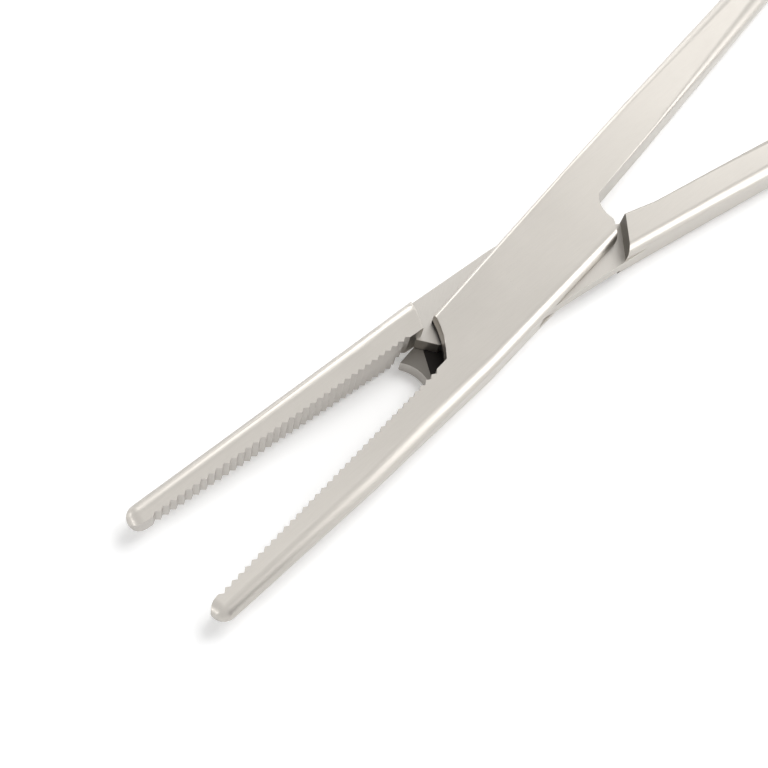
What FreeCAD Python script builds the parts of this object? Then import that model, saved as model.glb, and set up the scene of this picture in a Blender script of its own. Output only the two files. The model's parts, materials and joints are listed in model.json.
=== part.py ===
import FreeCAD, Part
import math
import os

# Mosquito forceps with a box lock, in millimetres.
# The pivot's axis is Z and the back face of the box lies at z = 0. The finger rings are
# towards +X and the jaw tips towards -X. Each half is drawn in its closed position, with
# its jaw along -X, and is then turned by half of the opening that the forceps lies at.

V = FreeCAD.Vector

# Reach along the instrument, from the pivot
TIP_REACH = 33.6
RING_REACH = 91.4
REST_OPENING = 11.46

# Box of the lock
BOX_THICKNESS = 3.6
PLATE_THICKNESS = 1.2
BOX_JAW_SIDE = 2.95
BOX_FREE_SIDE = 2.75
BOX_FREE_SPLAY = 3.2
BOX_FRONT_CORNER = 7.6
BOX_THROAT = 9.8
BOX_THROAT_HOLLOW = 0.2
BACK_FRONT_CORNER = 11.1
BACK_THROAT = 11.0
BACK_THROAT_HOLLOW = 0.4
BACK_SHOULDER_GAP = 0.35
BOX_CROTCH_SIDE = 1.75
BOX_CROTCH_HOLLOW = 0.38
BOX_FORK_REACH = 9.95
BOX_EDGE_ROUND = 0.45
BOX_JAW_EDGE_ROUND = 0.85
BOX_LAP = 0.5

# Web and shoulders of the through half
WEB_SIDE_CLEARANCE = 0.05
WEB_JAW_RADIUS = 3.6
WEB_SHANK_RADIUS = 2.85
WEB_CROTCH_SIDE = 0.24
WEB_HEEL_REACH = 8.7
WEB_HEEL_SIDE = 0.55
NECK_LAP = 0.1
SLOT_CLEARANCE = 0.12
STOP_OPENING = 55.0
JAW_SHOULDER_OUTER = 8.3
JAW_SHOULDER_INNER = 9.6
SHANK_SHOULDER_OUTER = 7.75
SHANK_SHOULDER_INNER = 10.2
SHOULDER_CLEARANCE = 0.1

# Pivot pin
PIN_DIAMETER = 3.2
PIN_RUNNING_CLEARANCE = 0.03

# Jaws
JAW_ROUND_START = 14.0
JAW_ROOT_ROUND = 1.1
JAW_MIDDLE = 20.0
JAW_MIDDLE_WIDTH = 2.5
JAW_MIDDLE_ROUND = 1.07
JAW_TIP_WIDTH = 1.65
JAW_TIP_HEIGHT = 1.25
JAW_TIP_ROUND = 1.0
JAW_NOSE = 0.9
JAW_NOSE_STATIONS = 4
JAW_NOSE_SWEEP = 76.0
JAW_NOSE_HEART = 0.4
THROUGH_JAW_SIDE = 3.3
TIP_CONTACT_GAP = 0.03
BOX_JAW_BOW = 0.1
THROUGH_JAW_BOW = 0.7

# Serrations
TOOTH_PITCH = 0.6
TOOTH_DEPTH = 0.22
TOOTH_FIRST = 10.6
TOOTH_NOSE_MARGIN = 0.2

# Shanks
BOX_SHANK_WIDTH = 3.3
THROUGH_SHANK_WIDTH = 2.6
SHOULDER_WIDTH = 3.2
SHANK_WIDTH = 3.2
SHANK_HEIGHT = 3.0
SHANK_ROUND = 1.25
FORK_EDGE_ROUND = 0.1
SHOULDER_INNER_ROUND = 0.2
SHOULDER_OUTER_ROUND = 0.75
SHANK_ROOT = 13.0
SHANK_STATIONS = 10
SHANK_EASE_SHARE = 0.5
SHANK_END_SPLAY = 9.0
SHANK_END_SHARE = 0.8
THROUGH_SHANK_OFFSET = 1.86

# Finger rings
RING_BORE_LENGTH = 20.0
RING_BORE_WIDTH = 17.0
RING_SIDE_RADIUS = 16.0
RING_SECTION_WIDTH = 3.2
RING_INNER_GAP = 10.0
RING_TILT = 8.0
RING_JOINT_ANGLE = 246.0

# Ratchets
RATCHET_PLACE = 60.5
RATCHET_LENGTH = 4.4
RATCHET_OVERLAP = 3.6
RATCHET_TEETH = 3
RATCHET_TOOTH_DEPTH = 0.55
RATCHET_LAND_SHARE = 0.25
RATCHET_CREST_CLEARANCE = 0.04
RATCHET_FACE_INSET = 0.25
RATCHET_END_ROUND = 1.4

MID_HEIGHT = BOX_THICKNESS / 2
WEB_LOW = PLATE_THICKNESS + WEB_SIDE_CLEARANCE
WEB_HIGH = BOX_THICKNESS - WEB_LOW
CUTTER_OVERRUN = 1.0
ROUND_LIMIT = 0.9
ROUND_BULGE = 1 - math.sqrt(0.5)
TINY = 0.001


def flat_face(edges):
    """A face in the z = 0 plane inside a closed run of edges."""
    return Part.Face(Part.Wire(Part.__sortEdges__(edges)))


def polygon(points):
    """A face in the z = 0 plane inside a closed polygon of (x, y) points."""
    corners = [V(x, y, 0) for x, y in points]
    return Part.Face(Part.makePolygon(corners + corners[:1]))


def prism(face, low, high):
    """The solid between two heights whose plan is the face."""
    raised = face.copy()
    raised.translate(V(0, 0, low))
    return raised.extrude(V(0, 0, high - low))


def line(start, end):
    """A straight edge in the z = 0 plane."""
    return Part.LineSegment(V(*start, 0), V(*end, 0)).toShape()


def bowed(start, end, sagitta):
    """An arc edge in the z = 0 plane that stands off its chord by the sagitta."""
    chord = V(end[0] - start[0], end[1] - start[1], 0)
    normal = V(-chord.y, chord.x, 0).normalize()
    middle = V(*start, 0) + chord * 0.5 + normal * sagitta
    return Part.Arc(V(*start, 0), middle, V(*end, 0)).toShape()


def joined(solids):
    """The solids fused into one, a pair at a time."""
    whole = solids[0]
    for solid in solids[1:]:
        whole = whole.fuse(solid)
    return whole.removeSplitter()


def between(low, high, share):
    """The value a share of the way from low to high."""
    return low + (high - low) * share


def bar_section(centre, across, inner, outer, height, inner_round, outer_round):
    """A closed wire across a bar, upright on the unit vector across.

    inner and outer are the distances of the two sides from the centre, and each side has
    its own corner radius, which is less in height on a thin bar. A radius of 0 leaves that
    side's corners sharp.
    """
    half = height / 2

    def at(u, w):
        return centre + across * u + V(0, 0, w)

    edges = []

    def corner(u, w, radius, turn_u, turn_w, first):
        if radius == 0:
            return at(u, w), at(u, w)
        drop = min(radius, half * ROUND_LIMIT)
        a = at(u - turn_u * radius, w)
        b = at(u, w - turn_w * drop)
        middle = at(u - turn_u * radius * ROUND_BULGE, w - turn_w * drop * ROUND_BULGE)
        if first == "side":
            a, b = b, a
        edges.append(Part.Arc(a, middle, b).toShape())
        return a, b

    top_inner = corner(-inner, half, inner_round, -1, 1, "side")
    top_outer = corner(outer, half, outer_round, 1, 1, "top")
    low_outer = corner(outer, -half, outer_round, 1, -1, "side")
    low_inner = corner(-inner, -half, inner_round, -1, -1, "top")
    runs = ((top_inner[1], top_outer[0]), (top_outer[1], low_outer[0]),
            (low_outer[1], low_inner[0]), (low_inner[1], top_inner[0]))
    edges += [Part.LineSegment(a, b).toShape() for a, b in runs]
    return Part.Wire(Part.__sortEdges__(edges))


def jaw_line(reach, bow):
    """The closed half's distance from the middle plane to its gripping face."""
    share = (reach - BOX_THROAT) / (TIP_REACH - BOX_THROAT)
    return between(bow, 0, share) + TIP_CONTACT_GAP


def jaw_height(reach):
    """The jaw's height, which tapers from the box's front corner to the tip."""
    share = (reach - BOX_FRONT_CORNER) / (TIP_REACH - BOX_FRONT_CORNER)
    return between(BOX_THICKNESS, JAW_TIP_HEIGHT, share)


def jaw_stations(root_side, root_round, bow):
    """The jaw's sections in order: reach, inner and outer side, height and outer rounding.

    The last ones shrink like a quarter of an oval and make the blunt nose.
    """
    share = (JAW_ROUND_START - BOX_FRONT_CORNER) / (JAW_MIDDLE - BOX_FRONT_CORNER)
    nose_start = TIP_REACH - JAW_NOSE
    stations = []
    for reach, outer, rounding in (
            (BOX_FRONT_CORNER, root_side, root_round),
            (JAW_ROUND_START, between(root_side, JAW_MIDDLE_WIDTH, share), JAW_ROOT_ROUND),
            (JAW_MIDDLE, JAW_MIDDLE_WIDTH, JAW_MIDDLE_ROUND),
            (nose_start, JAW_TIP_WIDTH, JAW_TIP_ROUND)):
        stations.append((reach, jaw_line(reach, bow), outer, jaw_height(reach), rounding))
    _, inner, outer, height, rounding = stations[-1]
    heart = between(inner, outer, JAW_NOSE_HEART)
    sweep = math.radians(JAW_NOSE_SWEEP)
    for index in range(1, JAW_NOSE_STATIONS + 1):
        angle = sweep * index / JAW_NOSE_STATIONS
        size = math.cos(angle)
        stations.append((nose_start + JAW_NOSE * math.sin(angle) / math.sin(sweep),
                         between(heart, inner, size), between(heart, outer, size),
                         height * size, rounding * size))
    return stations


def jaw_bar(root_side, root_round, bow):
    """A jaw with its gripping face towards -Y, tapering from the box to the blunt nose."""
    wires = []
    for reach, inner, outer, height, rounding in jaw_stations(root_side, root_round, bow):
        wires.append(bar_section(V(-reach, 0, MID_HEIGHT), V(0, 1, 0), -inner, outer, height,
                                 0, rounding))
    return Part.makeLoft(wires, True, True)


def taper_cutter():
    """What lies above and below the jaws' tapering faces, in front of the box."""
    half = jaw_height(JAW_MIDDLE) / 2
    depth = BOX_THICKNESS
    corners = [V(-BOX_FRONT_CORNER, -depth, BOX_THICKNESS),
               V(-JAW_MIDDLE, -depth, MID_HEIGHT + half),
               V(-JAW_MIDDLE, -depth, BOX_THICKNESS)]
    above = Part.Face(Part.makePolygon(corners + corners[:1])).extrude(V(0, 2 * depth, 0))
    below = above.mirror(V(0, 0, MID_HEIGHT), V(0, 0, 1))
    return [above, below]


def serration_cutter(bow, phase):
    """The prism of V grooves along a gripping face; phase shifts it by a share of a pitch."""
    first = TOOTH_FIRST + phase * TOOTH_PITCH
    count = int((TIP_REACH - JAW_NOSE - TOOTH_NOSE_MARGIN - first) / TOOTH_PITCH)
    points = [(-first, jaw_line(first, bow) - TOOTH_PITCH)]
    for index in range(count):
        crest = first + index * TOOTH_PITCH
        valley = crest + TOOTH_PITCH / 2
        points.append((-crest, jaw_line(crest, bow)))
        points.append((-valley, jaw_line(valley, bow) + TOOTH_DEPTH))
    last = first + count * TOOTH_PITCH
    points.append((-last, jaw_line(last, bow)))
    points.append((-last, jaw_line(last, bow) - TOOTH_PITCH))
    return prism(polygon(points), -CUTTER_OVERRUN, BOX_THICKNESS + CUTTER_OVERRUN)


def ring_arc(centre, radius, start, sweep):
    """One arc of the ring's tube, turned about an upright axis through its centre."""
    tube_centre = V(centre[0] + radius, centre[1], MID_HEIGHT)
    outline = Part.Ellipse(tube_centre + V(0, 0, MID_HEIGHT),
                           tube_centre + V(RING_SECTION_WIDTH / 2, 0, 0), tube_centre)
    profile = Part.Face(Part.Wire(outline.toShape()))
    axis_foot = V(*centre, 0)
    profile.rotate(axis_foot, V(0, 0, 1), start)
    return profile.revolve(axis_foot, V(0, 0, 1), sweep)


def ring_arcs():
    """The end arcs' radius, their centre, the side arcs' centre and the end arcs' half turn.

    The oval is the middle line of the ring's tube: two end arcs and two side arcs that
    meet in tangents.
    """
    half_length = (RING_BORE_LENGTH + RING_SECTION_WIDTH) / 2
    side_centre = RING_SIDE_RADIUS - (RING_BORE_WIDTH + RING_SECTION_WIDTH) / 2
    excess = RING_SIDE_RADIUS ** 2 - half_length ** 2 - side_centre ** 2
    end_radius = excess / (2 * (RING_SIDE_RADIUS - half_length))
    end_centre = half_length - end_radius
    turn = math.degrees(math.atan2(side_centre, end_centre))
    return end_radius, end_centre, side_centre, turn


def finger_ring():
    """The oval ring about the origin, its length along X, of four tangent arcs."""
    end_radius, end_centre, side_centre, turn = ring_arcs()
    return joined([
        ring_arc((end_centre, 0), end_radius, -turn, 2 * turn),
        ring_arc((0, -side_centre), RING_SIDE_RADIUS, turn, 180 - 2 * turn),
        ring_arc((-end_centre, 0), end_radius, 180 - turn, 2 * turn),
        ring_arc((0, side_centre), RING_SIDE_RADIUS, 180 + turn, 180 - 2 * turn)])


def ring_centre():
    """The centre of the ring at +Y in the closed forceps."""
    x = RING_REACH - RING_BORE_LENGTH / 2 - RING_SECTION_WIDTH
    y = RING_INNER_GAP / 2 + RING_SECTION_WIDTH + RING_BORE_WIDTH / 2
    return V(x, y, 0)


def ring_joint():
    """The point of the tilted ring's middle line where the shank runs into it."""
    _, _, side_centre, _ = ring_arcs()
    angle = math.radians(RING_JOINT_ANGLE)
    point = V(RING_SIDE_RADIUS * math.cos(angle),
              side_centre + RING_SIDE_RADIUS * math.sin(angle), 0)
    turned = FreeCAD.Rotation(V(0, 0, 1), RING_TILT).multVec(point)
    return ring_centre() + turned


def shank_line(root_offset, share):
    """A point of the shank's middle line, and its heading, a share of the way to the ring."""
    joint = ring_joint()
    length = joint.x - SHANK_ROOT
    start_rise = length * math.tan(math.radians(BOX_FREE_SPLAY))
    end_rise = length * math.tan(math.radians(SHANK_END_SPLAY))
    bend = joint.y - root_offset
    square = 3 * bend - 2 * start_rise - end_rise
    cube = start_rise + end_rise - 2 * bend
    y = root_offset + share * (start_rise + share * (square + share * cube))
    slope = start_rise + share * (2 * square + share * 3 * cube)
    point = V(SHANK_ROOT + share * length, y, MID_HEIGHT)
    return point, V(length, slope, 0).normalize()


def shank_bar(root_offset, root_width, root_rounds, start, start_width):
    """A shank at +Y from the lock to the ring, flat at the box and rounder behind it.

    root_rounds are the corner radii at the lock, on the inner and on the outer side.
    """
    wires = []
    for index in range(-1, SHANK_STATIONS + 1):
        share = max(0, index / SHANK_STATIONS)
        centre, along = shank_line(root_offset, share)
        across = V(-along.y, along.x, 0)
        eased = min(1, share / SHANK_EASE_SHARE)
        eased = eased * eased * (3 - 2 * eased)
        width = between(root_width, SHANK_WIDTH, eased)
        height = between(BOX_THICKNESS, SHANK_HEIGHT, eased)
        rounds = [between(root_round, SHANK_ROUND, eased) for root_round in root_rounds]
        if index < 0:
            centre = centre - along * (SHANK_ROOT - start) / along.x
            centre = centre + across * (root_width - start_width) / 2
            width = start_width
        if index == SHANK_STATIONS:
            width = RING_SECTION_WIDTH * SHANK_END_SHARE
            height = BOX_THICKNESS * SHANK_END_SHARE
            rounds = [rounding * SHANK_END_SHARE for rounding in rounds]
        wires.append(bar_section(centre, across, width / 2, width / 2, height, *rounds))
    return Part.makeLoft(wires, True, True)


def ratchet_bar(shank_side):
    """A ratchet bar that reaches from a shank at +Y across the middle, teeth downwards."""
    low = MID_HEIGHT + RATCHET_CREST_CLEARANCE
    root = low + RATCHET_TOOTH_DEPTH
    top = BOX_THICKNESS - RATCHET_FACE_INSET
    pitch = 2 * RATCHET_OVERLAP / (RATCHET_TEETH + 1)
    profile = [(shank_side, top), (-RATCHET_OVERLAP, top), (-RATCHET_OVERLAP, root)]
    for index in range(RATCHET_TEETH):
        foot = -RATCHET_OVERLAP + (index + RATCHET_LAND_SHARE) * pitch
        profile += [(foot, root), (foot, low), (foot + pitch * (1 - RATCHET_LAND_SHARE), root)]
    profile += [(shank_side, root)]
    corners = [V(RATCHET_PLACE, y, z) for y, z in profile]
    face = Part.Face(Part.makePolygon(corners + corners[:1]))
    bar = face.extrude(V(RATCHET_LENGTH, 0, 0))
    blank = prism(polygon([
        (RATCHET_PLACE, -RATCHET_OVERLAP), (RATCHET_PLACE, shank_side),
        (RATCHET_PLACE + RATCHET_LENGTH, shank_side),
        (RATCHET_PLACE + RATCHET_LENGTH, -RATCHET_OVERLAP)]), 0, BOX_THICKNESS)
    end_edges = [edge for edge in blank.Edges
                 if edge.BoundBox.ZLength > MID_HEIGHT
                 and edge.BoundBox.YMax < 0]
    return bar.common(blank.makeFillet(RATCHET_END_ROUND, end_edges))


def handle(root_offset, root_width, root_rounds, start, start_width):
    """The shank, ratchet bar and finger ring of a half whose shank is at +Y."""
    ring = finger_ring()
    ring.rotate(V(0, 0, 0), V(0, 0, 1), RING_TILT)
    ring.translate(ring_centre())
    share = (RATCHET_PLACE - SHANK_ROOT) / (ring_joint().x - SHANK_ROOT)
    centre, _ = shank_line(root_offset, share)
    shank = shank_bar(root_offset, root_width, root_rounds, start, start_width)
    return joined([shank, ring, ratchet_bar(centre.y)])


def box_free_line(x):
    """The distance from the middle plane to the box's free side and its shank's outside."""
    return BOX_FREE_SIDE + (x + BOX_FRONT_CORNER) * math.tan(math.radians(BOX_FREE_SPLAY))


def jaw_shoulder(y):
    """The reach of the through half's jaw shoulder at a distance from the middle plane."""
    return between(JAW_SHOULDER_INNER, JAW_SHOULDER_OUTER, y / WEB_JAW_RADIUS)


def shank_shoulder(y):
    """The reach of the through half's shank shoulder at a distance from the middle plane."""
    return between(SHANK_SHOULDER_INNER, SHANK_SHOULDER_OUTER, y / SHOULDER_WIDTH)


def box_body():
    """The box's plates in one block, with the roots of the jaw and the shank.

    The rear end of the block lies along the through half's shank shoulder, which comes up
    to it as the forceps closes.
    """
    front = (-BOX_FRONT_CORNER, BOX_FREE_SIDE)
    throat = (-BOX_THROAT, -jaw_line(BOX_THROAT, BOX_JAW_BOW))
    inner = (-BOX_THROAT, throat[1] - BOX_LAP)
    neck = (-BOX_FRONT_CORNER, inner[1])
    side = (-BOX_FRONT_CORNER, -BOX_JAW_SIDE)
    back = (shank_shoulder(BOX_JAW_SIDE) - SHOULDER_CLEARANCE, -BOX_JAW_SIDE)
    crotch = (shank_shoulder(BOX_CROTCH_SIDE) - SHOULDER_CLEARANCE, -BOX_CROTCH_SIDE)
    free_back = (BOX_FORK_REACH, box_free_line(BOX_FORK_REACH))
    fork = (BOX_FORK_REACH, free_back[1] - BOX_SHANK_WIDTH)
    face = flat_face([
        bowed(front, throat, BOX_THROAT_HOLLOW), line(throat, inner), line(inner, neck),
        line(neck, side), line(side, back), line(back, crotch),
        bowed(crotch, fork, BOX_CROTCH_HOLLOW), line(fork, free_back), line(free_back, front)])
    block = prism(face, 0, BOX_THICKNESS)
    long_edges = [edge for edge in block.Edges if edge.BoundBox.XLength > BOX_THICKNESS]
    free_edges = [edge for edge in long_edges if edge.CenterOfMass.y > BOX_FREE_SIDE + TINY]
    block = block.makeFillet(BOX_EDGE_ROUND, free_edges)
    long_edges = [edge for edge in block.Edges if edge.BoundBox.XLength > BOX_THICKNESS]
    jaw_edges = [edge for edge in long_edges if edge.CenterOfMass.y < -BOX_JAW_SIDE + TINY]
    block = block.makeFillet(BOX_JAW_EDGE_ROUND, jaw_edges)
    return joined([block, back_lip()]).cut(taper_cutter())


def back_lip():
    """The end of the back plate, which reaches further towards the tips than the front one."""
    corner = (-BACK_FRONT_CORNER, box_free_line(-BACK_FRONT_CORNER))
    throat = (-BACK_THROAT, -jaw_line(BACK_THROAT, BOX_JAW_BOW))
    inner = (-BACK_THROAT, throat[1] - BOX_LAP)
    in_box = (-BOX_FRONT_CORNER, inner[1])
    side = (-BOX_FRONT_CORNER, BOX_FREE_SIDE)
    face = flat_face([
        bowed(corner, throat, BACK_THROAT_HOLLOW), line(throat, inner), line(inner, in_box),
        line(in_box, side), line(side, corner)])
    lip = prism(face, 0, PLATE_THICKNESS)
    side_edges = [edge for edge in lip.Edges
                  if edge.BoundBox.ZMax < TINY and edge.BoundBox.YMin > corner[1] - TINY]
    return lip.makeFillet(BOX_EDGE_ROUND, side_edges)


def web_edges():
    """The ends of the web's edges: jaw outer, heel, shank outer and shank inner."""
    shank_side = THROUGH_SHANK_OFFSET + THROUGH_SHANK_WIDTH / 2
    return ((-JAW_SHOULDER_OUTER, THROUGH_JAW_SIDE - NECK_LAP),
            (-WEB_HEEL_REACH, -WEB_HEEL_SIDE),
            (SHANK_ROOT, NECK_LAP - shank_side),
            (SHANK_SHOULDER_INNER, -WEB_CROTCH_SIDE))


def foot_angle(radius, point, side):
    """The polar angle, in degrees, where a line from a point touches a circle at the pivot."""
    bearing = math.atan2(point[1], point[0])
    angle = math.degrees(bearing + side * math.acos(radius / math.hypot(*point)))
    return (angle + 180) % 360 - 180


def web_angles():
    """Where the web's edges touch its two arcs: jaw outer, heel, shank outer and shank inner."""
    jaw_outer, heel, shank_outer, shank_inner = web_edges()
    return (foot_angle(WEB_JAW_RADIUS, jaw_outer, -1), foot_angle(WEB_SHANK_RADIUS, heel, 1),
            foot_angle(WEB_SHANK_RADIUS, shank_outer, -1), foot_angle(WEB_JAW_RADIUS, shank_inner, 1))


def on_circle(radius, angle):
    """The (x, y) point at a polar angle in degrees on a circle about the pivot."""
    turn = math.radians(angle)
    return radius * math.cos(turn), radius * math.sin(turn)


def arc(radius, start, end):
    """An arc edge about the pivot between two polar angles in degrees."""
    points = [V(*on_circle(radius, angle), 0) for angle in (start, (start + end) / 2, end)]
    return Part.Arc(*points).toShape()


def web():
    """The thin web that swings in the slot, round about the pin, with its two necks."""
    jaw_outer, heel, shank_outer, shank_inner = web_edges()
    angles = web_angles()
    feet = (on_circle(WEB_JAW_RADIUS, angles[0]), on_circle(WEB_SHANK_RADIUS, angles[1]),
            on_circle(WEB_SHANK_RADIUS, angles[2]), on_circle(WEB_JAW_RADIUS, angles[3]))
    jaw_inner = (-BOX_THROAT, jaw_line(BOX_THROAT, THROUGH_JAW_BOW))
    in_jaw = (-BOX_THROAT, THROUGH_JAW_SIDE - BOX_LAP)
    in_shank = (SHANK_ROOT, -THROUGH_SHANK_OFFSET)
    face = flat_face([
        line(jaw_outer, feet[0]), arc(WEB_JAW_RADIUS, angles[0], angles[3]),
        line(feet[3], shank_inner), line(shank_inner, in_shank), line(in_shank, shank_outer),
        line(shank_outer, feet[2]), arc(WEB_SHANK_RADIUS, angles[2], angles[1]),
        line(feet[1], heel), line(heel, jaw_inner), line(jaw_inner, in_jaw),
        line(in_jaw, jaw_outer)])
    return prism(face, WEB_LOW, WEB_HIGH)


def slot_wall(radius, closed_angle, open_angle):
    """A root of the box between the plates, with a wall for each end of the web's swing.

    The walls touch a circle about the pivot at the two polar angles, in degrees.
    """
    middle = (closed_angle + open_angle) / 2
    spread = math.radians(closed_angle - open_angle) / 2
    nose = V(*on_circle((radius + SLOT_CLEARANCE) / math.cos(spread), middle), 0)
    closed_run = V(*on_circle(2 * SHANK_ROOT, closed_angle - 90), 0)
    open_run = V(*on_circle(2 * SHANK_ROOT, open_angle + 90), 0)
    corners = [nose, nose + closed_run, nose + closed_run + open_run, nose + open_run, nose]
    return prism(Part.Face(Part.makePolygon(corners)), 0, BOX_THICKNESS)


def slot():
    """The space between the plates that the through half's web swings in."""
    jaw_outer, heel, shank_outer, shank_inner = web_angles()
    room = Part.makeBox(2 * SHANK_ROOT, 2 * SHANK_ROOT, BOX_THICKNESS - 2 * PLATE_THICKNESS,
                        V(-SHANK_ROOT, -SHANK_ROOT, PLATE_THICKNESS))
    room = room.cut(slot_wall(WEB_JAW_RADIUS, shank_inner, jaw_outer - STOP_OPENING))
    return room.cut(slot_wall(WEB_SHANK_RADIUS, heel, shank_outer - STOP_OPENING))


def build_box_half():
    """The half whose plates form the box: jaw at -Y, shank at +Y."""
    jaw = jaw_bar(BOX_JAW_SIDE, BOX_JAW_EDGE_ROUND, BOX_JAW_BOW)
    jaw = jaw.cut(serration_cutter(BOX_JAW_BOW, 0.5))
    jaw = jaw.mirror(V(0, 0, 0), V(0, 1, 0))
    offset = box_free_line(SHANK_ROOT) - BOX_SHANK_WIDTH / 2
    grip = handle(offset, BOX_SHANK_WIDTH, (FORK_EDGE_ROUND, BOX_EDGE_ROUND),
                  BOX_FORK_REACH - BOX_LAP, BOX_SHANK_WIDTH)
    pin_hole = Part.makeCylinder(PIN_DIAMETER / 2, BOX_THICKNESS)
    return joined([box_body(), grip, jaw]).cut(slot()).cut(pin_hole)


def shoulder_space():
    """The space between the through half's two shoulders, where only the web remains."""
    reach = SHANK_ROOT
    return prism(polygon([
        (-jaw_shoulder(-reach), -reach), (-jaw_shoulder(reach), reach),
        (shank_shoulder(-reach), reach), (shank_shoulder(reach), -reach)]),
        -CUTTER_OVERRUN, BOX_THICKNESS + CUTTER_OVERRUN)


def back_space():
    """The room that the through half's jaw leaves for the lip of the back plate."""
    reach = SHANK_ROOT
    corner = -BACK_FRONT_CORNER - BACK_SHOULDER_GAP
    throat = -BACK_THROAT - BACK_SHOULDER_GAP
    return prism(polygon([(throat, -reach), (throat, 0), (corner, BOX_FREE_SIDE),
                          (corner, reach), (0, reach), (0, -reach)]), -CUTTER_OVERRUN, WEB_LOW)


def build_through_half():
    """The half whose web runs through the box: jaw at +Y, shank at -Y."""
    bore = Part.makeCylinder(PIN_DIAMETER / 2 + PIN_RUNNING_CLEARANCE, BOX_THICKNESS)
    jaw = jaw_bar(THROUGH_JAW_SIDE, JAW_ROOT_ROUND, THROUGH_JAW_BOW)
    jaw = jaw.cut(serration_cutter(THROUGH_JAW_BOW, 0))
    grip = handle(THROUGH_SHANK_OFFSET, THROUGH_SHANK_WIDTH,
                  (SHOULDER_INNER_ROUND, SHOULDER_OUTER_ROUND),
                  SHANK_SHOULDER_OUTER - BOX_LAP, SHOULDER_WIDTH)
    grip.rotate(V(0, 0, MID_HEIGHT), V(1, 0, 0), 180)
    space = shoulder_space()
    jaw = jaw.cut(space).cut(back_space())
    return joined([jaw, web(), grip.cut(space)]).cut(bore)


def build_pin():
    """The pin, riveted into both plates and ground flush with them."""
    return Part.makeCylinder(PIN_DIAMETER / 2, BOX_THICKNESS)


def main():
    """Build the three pieces, turn each half to the rest opening and write the files."""
    os.makedirs("parts", exist_ok=True)
    pieces = {
        "box_half": (build_box_half(), REST_OPENING / 2),
        "through_half": (build_through_half(), -REST_OPENING / 2),
        "pivot_pin": (build_pin(), 0)}
    for name, (shape, turn) in pieces.items():
        solid = shape.Solids[0] if len(shape.Solids) == 1 else shape
        solid.rotate(V(0, 0, 0), V(0, 0, 1), turn)
        solid.exportStep("parts/%s.step" % name)
        print(name, len(shape.Solids), shape.isValid(), round(shape.Volume, 2), shape.BoundBox)


main()
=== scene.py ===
import json
import logging
import math
from dataclasses import dataclass, field
from enum import Enum
from typing import Callable, Optional, Tuple, Union

import bmesh
import bpy
from mathutils import Matrix, Vector


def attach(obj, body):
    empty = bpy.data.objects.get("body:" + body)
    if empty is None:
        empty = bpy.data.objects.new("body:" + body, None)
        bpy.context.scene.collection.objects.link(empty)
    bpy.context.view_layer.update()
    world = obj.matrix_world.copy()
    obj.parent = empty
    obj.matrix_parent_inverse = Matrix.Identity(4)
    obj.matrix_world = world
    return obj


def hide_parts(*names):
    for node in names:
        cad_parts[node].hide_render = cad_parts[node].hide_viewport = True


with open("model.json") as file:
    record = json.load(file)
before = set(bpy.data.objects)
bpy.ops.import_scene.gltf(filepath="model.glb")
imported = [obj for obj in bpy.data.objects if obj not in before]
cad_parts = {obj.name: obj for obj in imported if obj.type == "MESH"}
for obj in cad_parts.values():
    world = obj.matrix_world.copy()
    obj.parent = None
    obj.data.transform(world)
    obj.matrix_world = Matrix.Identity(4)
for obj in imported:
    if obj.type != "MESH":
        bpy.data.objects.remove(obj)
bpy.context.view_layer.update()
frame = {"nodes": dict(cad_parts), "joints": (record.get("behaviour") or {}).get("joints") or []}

log = logging.getLogger("forceps")

Colour = Tuple[float, float, float]
Span = Tuple[float, float]
Sockets = Tuple[Tuple[str, str], ...]
Entry = Union[bpy.types.NodeSocket, float]
EdgeTest = Callable[[bmesh.types.BMEdge], bool]
FaceTest = Callable[[Vector, Vector], bool]

# Sizes are written in mm, and the scene is in metres.
MM = 0.001
PER_MM = 1 / MM
UP = Vector((0, 0, 1))
WHOLE = (0.0, 1.0)

# How close two points are one, how flat a bend is dissolved, and how sharp a corner is.
MERGE_DISTANCE = 0.0001 * MM
FLAT_ANGLE = math.radians(0.4)
SHARP_ANGLE = math.radians(32)

# The upward part of a face's normal: under UPRIGHT it stands, over LEVEL it lies, under STEEP it is a wall.
UPRIGHT = 0.5
LEVEL = 0.9
STEEP = 1 - LEVEL

# The steel's marks: the polishing lines, the rubbed patches, the scratches and the tint.
GRAIN_DETAIL = 3
PATCHES_PER_MM = 0.22
PATCH_DETAIL = 4
SCRATCH_DETAIL = 1
SCRATCH_HEADINGS = (12.0, -34.0, 71.0)
SCRATCH_STRETCH = (0.35, 9.0, 9.0)
SCRATCH_THRESHOLD = 0.7
SCRATCH_SOFTNESS = 0.05
TINT_MASKS = 2
TINT_SPREAD = 0.09

BOX_BODY = "box_body"
THROUGH_BODY = "through_body"


class Member(Enum):
    """The forceps' two forged halves, each named by how it meets the other in the lock."""

    BOX = "box_half"
    THROUGH = "through_half"


class Zone(Enum):
    """The parts of a forged half that get different materials, some painted shade, in the order of its
    slots.
    """

    BODY = 0
    GRIP = 1
    LOCK = 2
    DEEP = 3
    WEB = 4


def outward(bearing: float, height: float) -> Vector:
    """The direction of a bearing in plan and a height angle, both in degrees.

    Args:
        bearing: The bearing from X, in degrees.
        height: The angle above the table, in degrees.

    Returns:
        The unit vector that points there.
    """
    around = math.radians(bearing)
    above = math.radians(height)
    return Vector((math.cos(around) * math.cos(above), math.sin(around) * math.cos(above),
                   math.sin(above)))


def turned_in_plan(angle: float) -> Matrix:
    """The turn about the vertical by an angle in degrees."""
    return Matrix.Rotation(math.radians(angle), 3, "Z")


def grey(level: float) -> Tuple[float, float, float, float]:
    """The opaque grey of a lightness, where 1 is white."""
    return (level, level, level, 1)


def choose(piece: bpy.types.Object) -> None:
    """Make a piece the only selected and the active object.

    Args:
        piece: The object that the next operators act on.
    """
    bpy.ops.object.select_all(action="DESELECT")
    piece.select_set(True)
    bpy.context.view_layer.objects.active = piece


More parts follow.
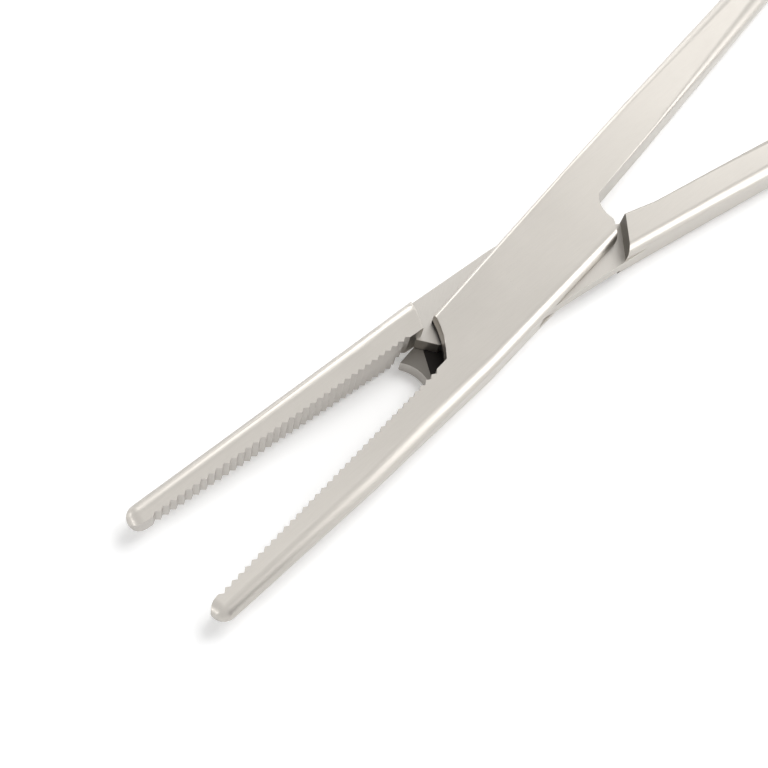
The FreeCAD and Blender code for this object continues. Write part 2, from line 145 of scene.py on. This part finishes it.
def merged_copy(node: str, name: str) -> bpy.types.Object:
    """Copy a CAD node's mesh as a new piece with its loose triangles merged into faces.

    Args:
        node: The CAD node whose form the piece keeps.
        name: The new piece's name.

    Returns:
        The new object, at the origin and in object mode.
    """
    piece = bpy.data.objects.new(name, frame["nodes"][node].data.copy())
    piece.data.name = name
    bpy.context.scene.collection.objects.link(piece)
    choose(piece)
    bpy.ops.mesh.customdata_custom_splitnormals_clear()
    bpy.ops.object.mode_set(mode="EDIT")
    bpy.ops.mesh.select_all(action="SELECT")
    bpy.ops.mesh.remove_doubles(threshold=MERGE_DISTANCE)
    bpy.ops.mesh.dissolve_limited(angle_limit=FLAT_ANGLE)
    bpy.ops.object.mode_set(mode="OBJECT")
    return piece


def select_edges(piece: bpy.types.Object, wanted: EdgeTest) -> int:
    """Select a piece's edges by a test of their place and direction, in edit mode.

    Args:
        piece: The active object, in edit mode.
        wanted: A test that says of each edge whether it is selected.

    Returns:
        The number of selected edges.
    """
    bpy.ops.mesh.select_mode(type="EDGE")
    bpy.ops.mesh.select_all(action="DESELECT")
    shape = bmesh.from_edit_mesh(piece.data)
    count = 0
    for edge in shape.edges:
        if wanted(edge):
            edge.select_set(True)
            count += 1
    bmesh.update_edit_mesh(piece.data)
    return count


def shade(piece: bpy.types.Object) -> None:
    """Shade a piece smooth up to the sharp angle, with flat faces kept flat.

    Args:
        piece: The object to shade.
    """
    choose(piece)
    bpy.ops.object.shade_smooth_by_angle(angle=SHARP_ANGLE)
    weigh = piece.modifiers.new("flat faces", "WEIGHTED_NORMAL")
    weigh.mode = "FACE_AREA"
    weigh.keep_sharp = True
    bpy.ops.object.modifier_apply(modifier=weigh.name)


def combine(tree: bpy.types.NodeTree, operation: str, first: Entry,
            second: Entry) -> bpy.types.NodeSocket:
    """Add a Math node to a tree.

    Args:
        tree: The node tree that gets the node.
        operation: What the node does with its two entries.
        first: The first entry, a socket or a number.
        second: The second entry, a socket or a number.

    Returns:
        The socket of the result.
    """
    node = tree.nodes.new("ShaderNodeMath")
    node.operation = operation
    for entry, value in zip(node.inputs, (first, second)):
        if isinstance(value, bpy.types.NodeSocket):
            tree.links.new(value, entry)
        else:
            entry.default_value = value
    return node.outputs["Value"]


def remap(tree: bpy.types.NodeTree, value: bpy.types.NodeSocket, source: Span,
          target: Span) -> bpy.types.NodeSocket:
    """Add a Map Range node to a tree.

    Args:
        tree: The node tree that gets the node.
        value: The socket of the value that is mapped.
        source: The value's lowest and highest number.
        target: The numbers that these two become.

    Returns:
        The socket of the result.
    """
    node = tree.nodes.new("ShaderNodeMapRange")
    labels = ("From Min", "From Max", "To Min", "To Max")
    for label, number in zip(labels, (*source, *target)):
        node.inputs[label].default_value = number
    tree.links.new(value, node.inputs["Value"])
    return node.outputs["Result"]


def seen_directly(tree: bpy.types.NodeTree) -> bpy.types.NodeSocket:
    """Add the test of whether the camera, a reflection or a refraction looks at a thing.

    Args:
        tree: The node tree that gets the test.

    Returns:
        The socket that is 1 for such a look and 0 for light on matt surfaces.
    """
    path = tree.nodes.new("ShaderNodeLightPath")
    total = path.outputs["Is Camera Ray"]
    for look in ("Is Glossy Ray", "Is Transmission Ray"):
        total = combine(tree, "MAXIMUM", total, path.outputs[look])
    return total


def new_group(name: str, inputs: Sockets, outputs: Sockets) -> bpy.types.NodeTree:
    """Start a shader node group with its sockets and its two end nodes.

    Args:
        name: The group's name.
        inputs: Each input's name and kind (Float, Vector or Color).
        outputs: Each output's name and kind.

    Returns:
        The node tree, with nodes named "in" and "out".
    """
    group = bpy.data.node_groups.new(name, "ShaderNodeTree")
    for label, kind in inputs:
        group.interface.new_socket(label, in_out="INPUT", socket_type="NodeSocket" + kind)
    for label, kind in outputs:
        group.interface.new_socket(label, in_out="OUTPUT", socket_type="NodeSocket" + kind)
    group.nodes.new("NodeGroupInput").name = "in"
    group.nodes.new("NodeGroupOutput").name = "out"
    return group


def polished_grain() -> bpy.types.NodeTree:
    """The fine parallel lines that satin polishing leaves.

    Returns:
        The group, which puts out the lines as a height from 0 to 1.
    """
    found = bpy.data.node_groups.get("polished grain")
    if found:
        return found
    group = new_group("polished grain",
                      (("Place", "Vector"), ("Pitch", "Float"), ("Stretch", "Float")),
                      (("Lines", "Float"),))
    nodes = group.nodes
    links = group.links
    given = nodes["in"].outputs
    shape = nodes.new("ShaderNodeCombineXYZ")
    shape.inputs["Y"].default_value = 1
    shape.inputs["Z"].default_value = 1
    links.new(combine(group, "DIVIDE", 1.0, given["Stretch"]), shape.inputs["X"])
    drawn = nodes.new("ShaderNodeVectorMath")
    drawn.operation = "MULTIPLY"
    links.new(given["Place"], drawn.inputs[0])
    links.new(shape.outputs["Vector"], drawn.inputs[1])
    noise = nodes.new("ShaderNodeTexNoise")
    noise.inputs["Detail"].default_value = GRAIN_DETAIL
    links.new(drawn.outputs["Vector"], noise.inputs["Vector"])
    links.new(combine(group, "DIVIDE", 1.0, given["Pitch"]), noise.inputs["Scale"])
    links.new(noise.outputs["Fac"], nodes["out"].inputs["Lines"])
    return group


def handling_marks() -> bpy.types.NodeTree:
    """Soft rubbed patches and sparse hairline scratches.

    Returns:
        The group, which puts out each of the two as a mask from 0 to 1.
    """
    found = bpy.data.node_groups.get("handling marks")
    if found:
        return found
    group = new_group("handling marks",
                      (("Place", "Vector"), ("Scratches", "Float")),
                      (("Rubbed", "Float"), ("Scratches", "Float")))
    nodes = group.nodes
    links = group.links
    given = nodes["in"].outputs
    patches = nodes.new("ShaderNodeTexNoise")
    patches.inputs["Scale"].default_value = PATCHES_PER_MM
    patches.inputs["Detail"].default_value = PATCH_DETAIL
    links.new(given["Place"], patches.inputs["Vector"])
    links.new(patches.outputs["Fac"], nodes["out"].inputs["Rubbed"])
    total = None
    for heading in SCRATCH_HEADINGS:
        drawn = nodes.new("ShaderNodeMapping")
        drawn.inputs["Rotation"].default_value = (0, 0, math.radians(heading))
        drawn.inputs["Scale"].default_value = SCRATCH_STRETCH
        links.new(given["Place"], drawn.inputs["Vector"])
        cells = nodes.new("ShaderNodeTexNoise")
        cells.inputs["Scale"].default_value = 1
        cells.inputs["Detail"].default_value = SCRATCH_DETAIL
        links.new(drawn.outputs["Vector"], cells.inputs["Vector"])
        mask = remap(group, cells.outputs["Fac"],
                     (SCRATCH_THRESHOLD, SCRATCH_THRESHOLD + SCRATCH_SOFTNESS), WHOLE)
        total = mask if total is None else combine(group, "MAXIMUM", total, mask)
    share = combine(group, "MULTIPLY", total, given["Scratches"])
    links.new(share, nodes["out"].inputs["Scratches"])
    return group


def steel_tint() -> bpy.types.NodeTree:
    """The steel's colour, a little darker between polishing lines and where it isn't rubbed.

    Returns:
        The group, which puts out the colour.
    """
    found = bpy.data.node_groups.get("steel tint")
    if found:
        return found
    group = new_group("steel tint",
                      (("Colour", "Color"), ("Lines", "Float"), ("Rubbed", "Float")),
                      (("Colour", "Color"),))
    nodes = group.nodes
    links = group.links
    given = nodes["in"].outputs
    total = combine(group, "ADD", given["Lines"], given["Rubbed"])
    level = remap(group, total, (0.0, TINT_MASKS), (1 - TINT_SPREAD, 1 + TINT_SPREAD))
    scaled = nodes.new("ShaderNodeVectorMath")
    scaled.operation = "SCALE"
    links.new(given["Colour"], scaled.inputs[0])
    links.new(level, scaled.inputs["Scale"])
    links.new(scaled.outputs["Vector"], nodes["out"].inputs["Colour"])
    return group


@dataclass(frozen=True)
class SteelFinish:
    """A finish of the stainless steel, or painted shade on it.

    Args:
        name: The material's name.
        colour: The steel's own colour, or the colour of the painted shade, linear.
        roughness: The mean roughness.
        roughness_spread: How far the rubbed patches move the roughness.
        grain_pitch: The width of the polishing lines, in mm.
        grain_stretch: How many times longer than wide the polishing lines are.
        grain_depth: The depth of the polishing lines, in mm.
        heading: The polishing lines' direction in plan, in degrees from X.
        scratches: The share of fine scratches, from 0 to 1.
    """

    name: str
    colour: Colour
    roughness: float
    roughness_spread: float
    grain_pitch: float
    grain_stretch: float
    grain_depth: float
    heading: float
    scratches: float

    def shared(self) -> bpy.types.Material:
        """The finish's material, which is made on its first use."""
        return bpy.data.materials.get(self.name) or self.material()

    def material(self) -> bpy.types.Material:
        """Make the finish as a procedural material.

        Returns:
            The new material.
        """
        material = bpy.data.materials.new(self.name)
        material.use_nodes = True
        tree = material.node_tree
        nodes = tree.nodes
        links = tree.links
        steel = nodes["Principled BSDF"]
        steel.inputs["Metallic"].default_value = 1.0
        place = nodes.new("ShaderNodeTexCoord")
        turned = nodes.new("ShaderNodeMapping")
        turned.vector_type = "TEXTURE"
        turned.inputs["Rotation"].default_value = (0, 0, math.radians(self.heading))
        turned.inputs["Scale"].default_value = (MM, MM, MM)
        links.new(place.outputs["Object"], turned.inputs["Vector"])
        grain = nodes.new("ShaderNodeGroup")
        grain.node_tree = polished_grain()
        grain.inputs["Pitch"].default_value = self.grain_pitch
        grain.inputs["Stretch"].default_value = self.grain_stretch
        links.new(turned.outputs["Vector"], grain.inputs["Place"])
        marks = nodes.new("ShaderNodeGroup")
        marks.node_tree = handling_marks()
        marks.inputs["Scratches"].default_value = self.scratches
        links.new(turned.outputs["Vector"], marks.inputs["Place"])
        tint = nodes.new("ShaderNodeGroup")
        tint.node_tree = steel_tint()
        tint.inputs["Colour"].default_value = (*self.colour, 1)
        links.new(grain.outputs["Lines"], tint.inputs["Lines"])
        links.new(marks.outputs["Rubbed"], tint.inputs["Rubbed"])
        links.new(tint.outputs["Colour"], steel.inputs["Base Color"])
        rough = remap(tree, marks.outputs["Rubbed"], WHOLE,
                      (self.roughness - self.roughness_spread,
                       self.roughness + self.roughness_spread))
        links.new(rough, steel.inputs["Roughness"])
        relief = combine(tree, "SUBTRACT", grain.outputs["Lines"], marks.outputs["Scratches"])
        bump = nodes.new("ShaderNodeBump")
        bump.inputs["Distance"].default_value = self.grain_depth * MM
        links.new(relief, bump.inputs["Height"])
        links.new(bump.outputs["Normal"], steel.inputs["Normal"])
        return material


SATIN = SteelFinish(
    name="satin_steel", colour=(0.52, 0.493, 0.455), roughness=0.37, roughness_spread=0.06,
    grain_pitch=0.07, grain_stretch=24, grain_depth=0.0035, heading=0, scratches=0.6)
GRIPPING = SteelFinish(
    name="cut_teeth_steel", colour=(0.5, 0.475, 0.445), roughness=0.42, roughness_spread=0.05,
    grain_pitch=0.05, grain_stretch=4, grain_depth=0.001, heading=90, scratches=0.1)
# Darker, rougher steel for the lock's recess and the shank's shoulder wall: partly unpolished steel, partly
# painted shade.
SHADED_RECESS = SteelFinish(
    name="lock_recess_shaded_steel", colour=(0.24, 0.225, 0.205), roughness=0.5, roughness_spread=0.06,
    grain_pitch=0.08, grain_stretch=6, grain_depth=0.001, heading=30, scratches=0.1)
# Painted shadow: near-black steel for the slot under the front plate and the dark line under its end.
SHADOWED = SteelFinish(
    name="lock_shadow_steel", colour=(0.035, 0.032, 0.03), roughness=0.6, roughness_spread=0.05,
    grain_pitch=0.08, grain_stretch=6, grain_depth=0.001, heading=30, scratches=0.0)
LAPPED = SteelFinish(
    name="lapped_web_steel", colour=(0.53, 0.505, 0.47), roughness=0.4, roughness_spread=0.06,
    grain_pitch=0.09, grain_stretch=12, grain_depth=0.005, heading=32, scratches=0.8)

ZONE_FINISH = {Zone.BODY: SATIN, Zone.GRIP: GRIPPING, Zone.LOCK: SHADED_RECESS, Zone.DEEP: SHADOWED,
               Zone.WEB: LAPPED}


@dataclass
class ForgedHalf:
    """One forged half: jaw, its share of the lock, shank, ratchet bar and finger ring.

    Args:
        member: Which half it is.
        body: The CAD body that it moves with.
        turn: The half's turn about the pivot at rest, in degrees.
        side: 1 where its jaw is towards +Y in its own plan, and -1 where it is towards -Y.
        corner_width: The most that the bevels of its other sharp edges may take, in mm.
        shoulder_width: The width of the bevel at the face's end beside the jaws, in mm.
        corner_steps: How many faces each bevel has across.
        face_height: The height above which a corner belongs to the front face, in mm.
        throat_from: The least reach of the face's end beside the jaws, in mm.
        throat_low: Where the bevel of the front plate's end starts beside the middle, in mm.
        throat_high: Where that bevel ends beside the rounded side, in mm.
        lip_heading: The bearing of the front plate's end in the plan, in degrees.
        lip_from: How far from the pivot the back plate's lip comes out of the painted shadow, in mm.
        shadow_to: The reach at which the slot's painted shadow ends towards the pin, in mm.
        shadow_line_top: The height of the painted shadow line under the front plate's end, in mm.
        teeth_from: The reach at which the cut teeth start, in mm.
        teeth_height: How far from the middle plane the gripping face lies at most, in mm.
        pin_clear: The radius about the pivot that is left as it is, in mm.
        slot_low: The lowest height of a surface inside the lock's slot, in mm.
        slot_high: The greatest height of a surface inside the lock's slot, in mm.
        slot_side: How far from the middle the slot's inner walls reach, in mm.
        slot_reach: How far from the pivot the slot reaches, in mm.
        slot_span: How far from the pivot the middle of a level face in the slot may be, in mm.
    """

    member: Member
    body: str
    turn: float
    side: int
    corner_width: float = 0.08
    shoulder_width: float = 0.14
    corner_steps: int = 2
    face_height: float = 3.2
    throat_from: float = 7.2
    throat_low: float = 0.0
    throat_high: float = 2.4
    lip_heading: float = 142.6
    lip_from: float = 8.5
    shadow_to: float = 3.0
    shadow_line_top: float = 2.72
    teeth_from: float = 9.9
    teeth_height: float = 1.15
    pin_clear: float = 2.0
    slot_low: float = 1.12
    slot_high: float = 2.48
    slot_side: float = 2.6
    slot_reach: float = 12.4
    slot_span: float = 24.8
    piece: Optional[bpy.types.Object] = field(default=None, init=False)

    def plan(self, point: Vector) -> Vector:
        """A point of the part in the half's own plan, with its jaw along -X, in mm."""
        return turned_in_plan(-self.turn) @ (point * PER_MM)

    def at_teeth(self, point: Vector) -> bool:
        """Whether a point lies on the cut gripping face."""
        place = self.plan(point)
        return place.x < -self.teeth_from and place.y * self.side < self.teeth_height

    def is_corner(self, edge: bmesh.types.BMEdge) -> bool:
        """Whether an edge is a sharp corner that the bevels may take.

        Args:
            edge: The edge of the half's mesh.

        Returns:
            True for a sharp edge that is neither at the pin nor on the teeth.
        """
        if len(edge.link_faces) != 2 or edge.calc_face_angle(0) < SHARP_ANGLE:
            return False
        for vertex in edge.verts:
            place = self.plan(vertex.co)
            if place.xy.length < self.pin_clear or self.at_teeth(vertex.co):
                return False
        return True

    def is_shoulder(self, edge: bmesh.types.BMEdge) -> bool:
        """Whether an edge is the face's end at the jaw side of the lock, with a wide bevel.

        Args:
            edge: The edge of the half's mesh.

        Returns:
            True for a corner of the front face that runs across the half beside the jaws.
        """
        if not self.is_corner(edge):
            return False
        for vertex in edge.verts:
            place = self.plan(vertex.co)
            if place.z < self.face_height or not -self.slot_reach < place.x < -self.throat_from:
                return False
            if self.member is Member.BOX and not self.throat_low < place.y < self.throat_high:
                return False
        run = self.plan(edge.verts[1].co) - self.plan(edge.verts[0].co)
        return abs(run.y) > abs(run.x)

    def in_slot(self, place: Vector, normal: Vector) -> bool:
        """Whether a level face at a place of the plan lies inside the lock's slot."""
        near = place.xy.length < self.slot_span
        return near and abs(normal.z) > LEVEL and self.slot_low < place.z < self.slot_high

    def at_throat(self, place: Vector, normal: Vector) -> bool:
        """Whether an upright face at a place of the plan is the front plate's end."""
        in_reach = -self.slot_reach < place.x < -self.throat_from
        return in_reach and place.z > self.slot_high and abs(normal.z) < STEEP

    def divide(self, wanted: FaceTest, point: Vector, across: Vector) -> None:
        """Cut some of the faces along a plane, so that each side can have its own finish or painted shade.

        Args:
            wanted: A test of a face's place and normal in the plan.
            point: A point of the plane, in mm.
            across: The plane's normal.
        """
        bpy.ops.mesh.select_mode(type="FACE")
        bpy.ops.mesh.select_all(action="DESELECT")
        shape = bmesh.from_edit_mesh(self.piece.data)
        for face in shape.faces:
            face.select_set(wanted(self.plan(face.calc_center_median()), face.normal))
        bmesh.update_edit_mesh(self.piece.data)
        bpy.ops.mesh.bisect(plane_co=point * MM, plane_no=across)

    def open_lock(self) -> None:
        """Divide the lock's faces where the back plate's lip, the painted shadow and the painted shadow
        line begin.
        """
        heading = turned_in_plan(self.turn) @ Vector((1, 0, 0))
        beside = turned_in_plan(self.lip_heading) @ heading
        self.divide(self.in_slot, beside * self.lip_from, beside)
        self.divide(self.in_slot, heading * -self.shadow_to, heading)
        self.divide(self.at_throat, UP * self.shadow_line_top, UP)

    def build(self) -> None:
        """Make the half from its forging's form, with the shoulder beside its jaw bevelled."""
        self.piece = merged_copy(self.member.value, self.member.value + "_dressed")
        bpy.ops.object.mode_set(mode="EDIT")
        self.open_lock()
        wide = select_edges(self.piece, self.is_shoulder)
        bpy.ops.mesh.bevel(offset=self.shoulder_width * MM, segments=self.corner_steps,
                           clamp_overlap=False)
        # The clamp leaves this bevel no measurable width. It takes nothing off the half, but its
        # folded faces steer the shading beside them.
        folded = select_edges(self.piece, self.is_corner)
        bpy.ops.mesh.bevel(offset=self.corner_width * MM, segments=self.corner_steps,
                           clamp_overlap=True)
        bpy.ops.object.mode_set(mode="OBJECT")
        shade(self.piece)
        log.info("%s: %d shoulder edges bevelled, %d corners folded, %d faces", self.piece.name,
                 wide, folded, len(self.piece.data.polygons))

    def dress(self) -> None:
        """Give each zone its finish or painted shade, and put the half on its body."""
        self.piece.data.materials.clear()
        for zone in Zone:
            self.piece.data.materials.append(ZONE_FINISH[zone].shared())
        for face in self.piece.data.polygons:
            face.material_index = self.zone(face).value
        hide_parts(self.member.value)
        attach(self.piece, self.body)

    def zone(self, face: bpy.types.MeshPolygon) -> Zone:
        """The zone that a face belongs to.

        Args:
            face: The face of the half's mesh.

        Returns:
            The zone, by the face's place and normal.
        """
        if self.at_teeth(face.center) and abs(face.normal.z) < UPRIGHT:
            return Zone.GRIP
        place = self.plan(face.center)
        if abs(place.x) > self.slot_reach:
            return Zone.BODY
        if self.member is Member.THROUGH:
            return self.web_zone(place, face.normal)
        # Painted shadow line: the front plate's end below this height is near-black.
        if self.at_throat(place, face.normal) and place.z < self.shadow_line_top:
            return Zone.DEEP
        if not self.slot_low < place.z < self.slot_high:
            return Zone.BODY
        if abs(face.normal.z) < LEVEL and abs(place.y) > self.slot_side:
            return Zone.BODY
        if place.x > -self.shadow_to:
            return Zone.WEB
        # Under the front plate the slot gets painted shadow; the lip beyond it gets the darker recess
        # steel, partly painted shade.
        in_shadow = place.dot(outward(self.lip_heading, 0)) < self.lip_from
        return Zone.DEEP if in_shadow else Zone.LOCK

    def web_zone(self, place: Vector, normal: Vector) -> Zone:
        """The zone of a face of the through half near the lock.

        Args:
            place: The face's place in the plan, in mm.
            normal: The face's normal.

        Returns:
            LOCK, dark steel with painted shade, for the shank's shoulder wall, WEB for the web, and BODY
            for the rest.
        """
        upright = abs(normal.z) < UPRIGHT
        # The shank's shoulder wall gets the darker recess steel, which paints its shade.
        if upright and place.x > self.throat_from and normal.x < -UPRIGHT:
            return Zone.LOCK
        if self.slot_low < place.z < self.slot_high and not upright:
            return Zone.WEB
        return Zone.BODY


@dataclass
class PivotPin:
    """The pin, riveted and ground flush with both plates of the box.

    Args:
        body: The CAD body that it moves with.
    """

    body: str

    def dress(self) -> None:
        """Give the pin the finish of the plates that it was ground with."""
        pin = frame["nodes"]["pivot_pin"]
        pin.data.materials.clear()
        pin.data.materials.append(SATIN.shared())
        log.info("pivot_pin: dressed on %s", self.body)


@dataclass(frozen=True)
class Softbox:
    """A rectangular lamp that is aimed at the forceps.

    Args:
        name: The lamp's name.
        bearing: Its bearing from the aim, in degrees from X.
        height: Its height angle above the table, in degrees.
        distance: Its distance from the aim, in mm.
        size: Its two sides, in mm.
        brightness: How bright its face is, where white paper in full light is 1.
        mirrored: Whether the steel's gloss shows it.
    """

    name: str
    bearing: float
    height: float
    distance: float
    size: Span
    brightness: float
    mirrored: bool = True

    def build(self, aim: Vector) -> bpy.types.Object:
        """Hang the lamp and turn it to the aim.

        Args:
            aim: The point that the lamp faces, in metres.

        Returns:
            The lamp's object.
        """
        lamp = bpy.data.lights.new(self.name, "AREA")
        lamp.shape = "RECTANGLE"
        lamp.size = self.size[0] * MM
        lamp.size_y = self.size[1] * MM
        lamp.energy = self.brightness * math.pi * lamp.size * lamp.size_y
        holder = bpy.data.objects.new(self.name, lamp)
        bpy.context.scene.collection.objects.link(holder)
        out = outward(self.bearing, self.height)
        holder.location = aim + out * self.distance * MM
        holder.rotation_euler = out.to_track_quat("Z", "Y").to_euler()
        holder.visible_glossy = self.mirrored
        return holder


@dataclass(frozen=True)
class DarkCard:
    """A dark card that only the steel's gloss sees.

    Args:
        name: The card's name.
        bearing: Its bearing from the aim, in degrees from X.
        height: Its height angle above the table, in degrees.
        distance: Its distance from the aim, in mm.
        size: Its two sides, in mm.
        shade: Its own lightness.
    """

    name: str
    bearing: float
    height: float
    distance: float
    size: Span
    shade: float

    def build(self, aim: Vector) -> bpy.types.Object:
        """Hang the card and turn it to the aim.

        Args:
            aim: The point that the card faces, in metres.

        Returns:
            The card's object.
        """
        out = outward(self.bearing, self.height)
        bpy.ops.object.select_all(action="DESELECT")
        bpy.ops.mesh.primitive_plane_add(
            size=1, location=aim + out * self.distance * MM,
            rotation=out.to_track_quat("Z", "Y").to_euler())
        card = bpy.context.active_object
        card.name = self.name
        card.scale = (self.size[0] * MM, self.size[1] * MM, 1)
        material = bpy.data.materials.new(self.name)
        material.use_nodes = True
        tree = material.node_tree
        glow = tree.nodes.new("ShaderNodeEmission")
        glow.inputs["Color"].default_value = grey(self.shade)
        tree.links.new(glow.outputs["Emission"], tree.nodes["Material Output"].inputs["Surface"])
        card.data.materials.append(material)
        card.visible_camera = False
        card.visible_diffuse = False
        card.visible_shadow = False
        return card


@dataclass
class Studio:
    """The table, the white surroundings, the soft lamps and the dark cards.

    Args:
        table_side: The side of the table, in mm.
        table_white: The table's own lightness.
        table_roughness: The table's roughness.
        table_glow: The white that the camera and the gloss see added to the table near the forceps.
        far_glow: That added white where the lamps no longer light the table.
        near_reach: How far from the pivot the added white starts to rise, in mm.
        far_reach: How far from the pivot it has risen in full, in mm.
        fill: The strength of the white surroundings as light on matt surfaces.
        lamps: The softboxes.
        cards: The dark cards.
    """

    table_side: float = 4000.0
    table_white: float = 0.93
    table_roughness: float = 0.9
    table_glow: float = 0.22
    far_glow: float = 0.75
    near_reach: float = 110.0
    far_reach: float = 260.0
    fill: float = 0.3
    lamps: Tuple[Softbox, ...] = (
        Softbox("lamp_rear", 16, 34, 500, (200, 150), 1.6),
        Softbox("lamp_right", -47, 22, 450, (320, 330), 2.5),
        Softbox("lamp_left", 62, 20, 450, (240, 260), 2.2),
        Softbox("lamp_front", 121, 14, 450, (150, 120), 2.4),
        Softbox("lamp_tips", 164, 27, 450, (120, 90), 4.5),
        Softbox("lamp_above", 36, 80, 500, (130, 130), 1.25),
        Softbox("lamp_key", 2, 56, 500, (300, 300), 5.4, mirrored=False),
    )
    cards: Tuple[DarkCard, ...] = (
        DarkCard("card_right", -80, 20, 420, (180, 280), 0.1),
    )

    def build_table(self) -> bpy.types.Object:
        """Lay the table that the forceps rests on.

        Returns:
            The table, which is white to the camera and the gloss but keeps the shadow.
        """
        bpy.ops.object.select_all(action="DESELECT")
        bpy.ops.mesh.primitive_plane_add(size=self.table_side * MM)
        table = bpy.context.active_object
        table.name = "table"
        material = bpy.data.materials.new("table_paper")
        material.use_nodes = True
        tree = material.node_tree
        paper = tree.nodes["Principled BSDF"]
        paper.inputs["Roughness"].default_value = self.table_roughness
        paper.inputs["Specular IOR Level"].default_value = 0.0
        paper.inputs["Base Color"].default_value = grey(self.table_white)
        paper.inputs["Emission Color"].default_value = grey(1)
        place = tree.nodes.new("ShaderNodeTexCoord")
        reach = tree.nodes.new("ShaderNodeVectorMath")
        reach.operation = "LENGTH"
        tree.links.new(place.outputs["Object"], reach.inputs[0])
        glow = remap(tree, reach.outputs["Value"],
                     (self.near_reach * MM, self.far_reach * MM),
                     (self.table_glow, self.far_glow))
        seen = combine(tree, "MULTIPLY", seen_directly(tree), glow)
        tree.links.new(seen, paper.inputs["Emission Strength"])
        table.data.materials.append(material)
        return table

    def build_surroundings(self) -> None:
        """Surround the scene with white that the camera and the steel's gloss see in full."""
        world = bpy.data.worlds.new("white_room")
        bpy.context.scene.world = world
        world.use_nodes = True
        tree = world.node_tree
        level = remap(tree, seen_directly(tree), WHOLE, (self.fill, 1.0))
        white = tree.nodes["Background"]
        white.inputs["Color"].default_value = grey(1)
        tree.links.new(level, white.inputs["Strength"])

    def build(self, aim: Vector) -> None:
        """Set up the table, the surroundings, the lamps and the cards.

        Args:
            aim: The point that the lamps face, in metres.
        """
        self.build_table()
        self.build_surroundings()
        for gear in (*self.lamps, *self.cards):
            gear.build(aim)
        bpy.context.scene.view_settings.view_transform = "Standard"
        log.info("studio: %d lamps and %d dark cards", len(self.lamps), len(self.cards))


@dataclass
class Viewpoint:
    """The camera, close above the jaws, as in the photograph.

    Args:
        aim: The point of the front plate's plane in the middle of the frame, in mm.
        bearing: The camera's bearing from the aim, in degrees from X.
        height: The camera's height angle above the table, in degrees.
        roll: The camera's turn about its own axis, in degrees.
        distance: The camera's distance from the aim, in mm.
        lens: The focal length, in mm.
        sensor: The sensor's width, in mm.
    """

    aim: Tuple[float, float, float] = (-14.580, 0.265, 3.6)
    bearing: float = 210.0475
    height: float = 60.0
    roll: float = 17.526
    distance: float = 85.504
    lens: float = 59.334
    sensor: float = 36.0

    def build(self) -> bpy.types.Object:
        """Set up the camera and make it the scene's own.

        Returns:
            The camera's object.
        """
        back = outward(self.bearing, self.height)
        across = UP.cross(back).normalized()
        rise = back.cross(across)
        turn = Matrix((across, rise, back)).transposed().to_4x4()
        turn = turn @ Matrix.Rotation(math.radians(self.roll), 4, "Z")
        camera = bpy.data.cameras.new("camera")
        camera.sensor_width = self.sensor
        camera.lens = self.lens
        camera.clip_start = MM
        holder = bpy.data.objects.new("camera", camera)
        bpy.context.scene.collection.objects.link(holder)
        place = Vector(self.aim) * MM + back * self.distance * MM
        holder.matrix_world = Matrix.Translation(place) @ turn
        bpy.context.scene.camera = holder
        log.info("camera: %.1f mm lens, %.1f mm from the forceps", self.lens, self.distance)
        return holder


def main() -> None:
    """Build the camera, the studio and the forceps."""
    logging.basicConfig(level=logging.INFO, format="%(name)s: %(message)s")
    # The joint's closed limit is minus the angle between the halves at rest.
    opening = -frame["joints"][0]["range_deg"][0]
    viewpoint = Viewpoint()
    viewpoint.build()
    Studio().build(Vector(viewpoint.aim) * MM)
    halves = (
        ForgedHalf(Member.BOX, BOX_BODY, opening / 2, -1),
        ForgedHalf(Member.THROUGH, THROUGH_BODY, -opening / 2, 1))
    for half in halves:
        half.build()
        half.dress()
    PivotPin(BOX_BODY).dress()


if __name__ == "__main__":
    main()
